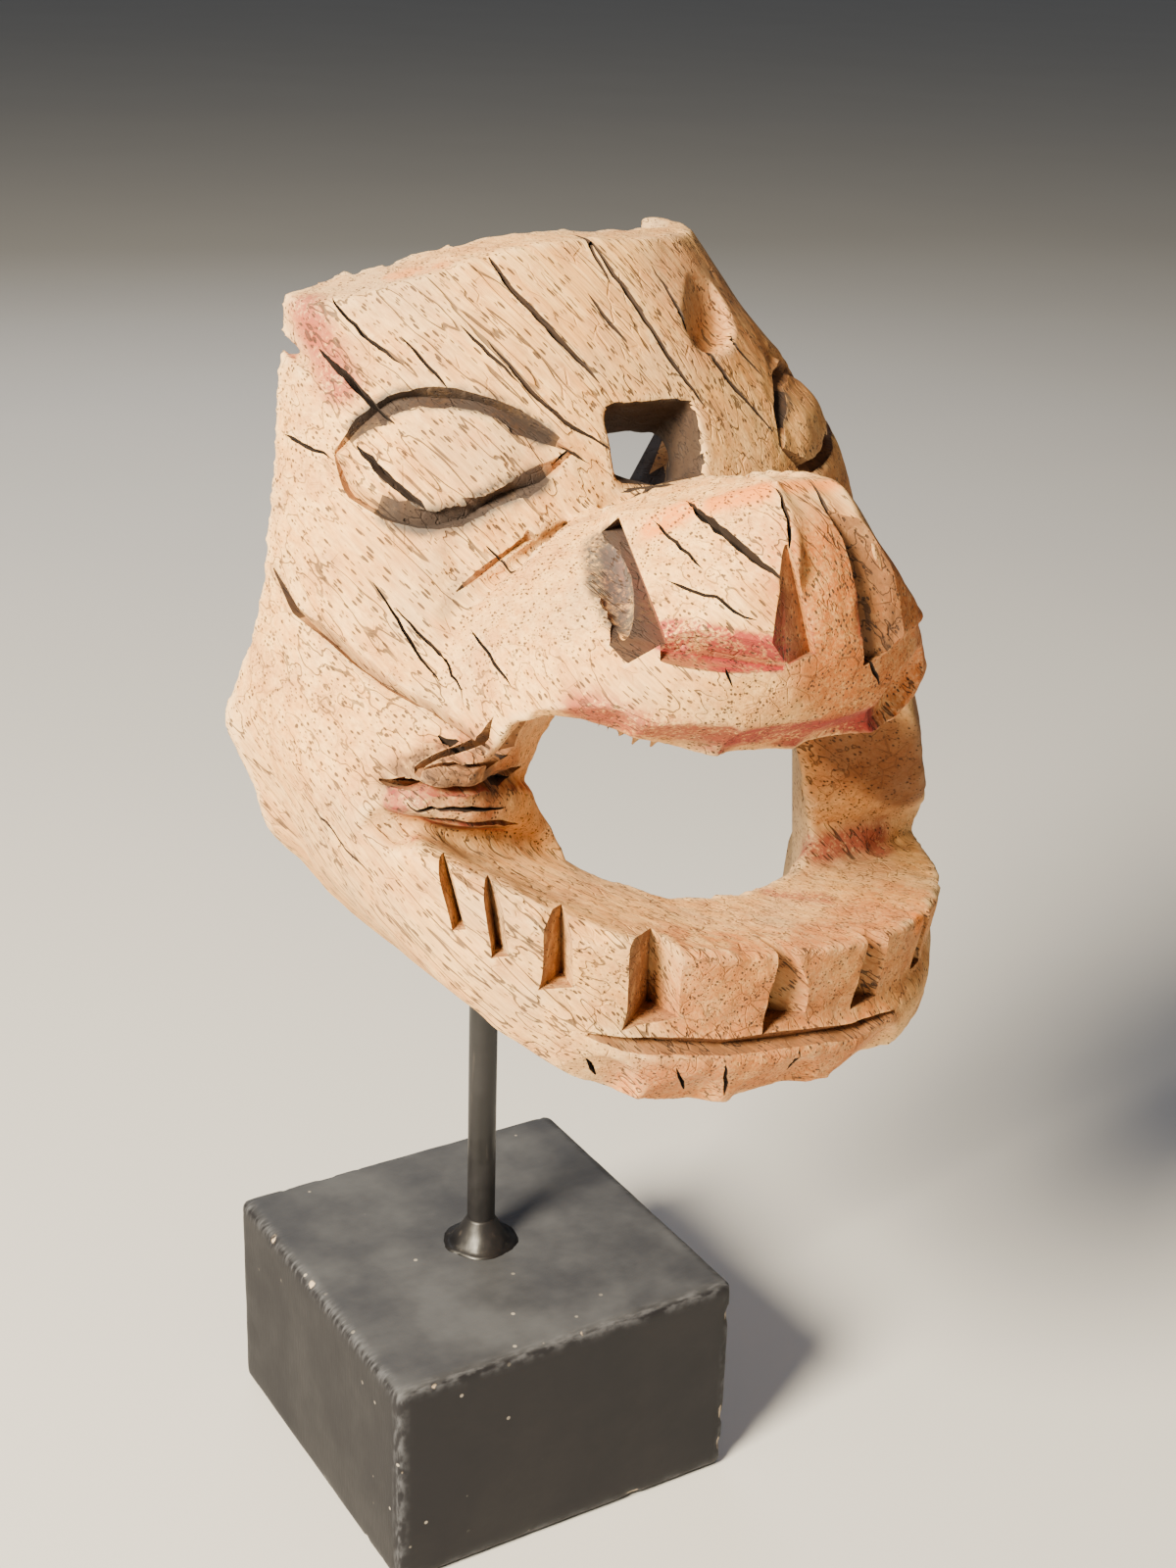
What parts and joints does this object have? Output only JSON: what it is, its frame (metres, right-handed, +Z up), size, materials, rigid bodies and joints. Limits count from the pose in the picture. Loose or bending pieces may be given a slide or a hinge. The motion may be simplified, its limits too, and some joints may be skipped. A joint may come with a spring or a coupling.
{
  "type": "carved wooden beast mask on a stand",
  "caption": "Weathered wooden dance mask of a snarling beast with open jaw, bared teeth and a square hole in the brow, held up by a black rod in a painted block.",
  "frame": {"origin": "middle of the base block's underside", "axes": "+Z up along the rod, the beast looks along -Y, +X towards its left side"},
  "size_m": [0.2003, 0.2146, 0.4001],
  "materials": {
    "weathered_wood": "bare weathered cream-tan wood, cracked and porous, with traces of red and grey paint",
    "black_steel": "satin black paint",
    "painted_block": "matt charcoal paint, dusty and chipped at the edges"
  },
  "bodies": {
    "root": {"mask": "weathered_wood", "rod": "black_steel", "base_block": "painted_block"}
  },
  "joints": []
}
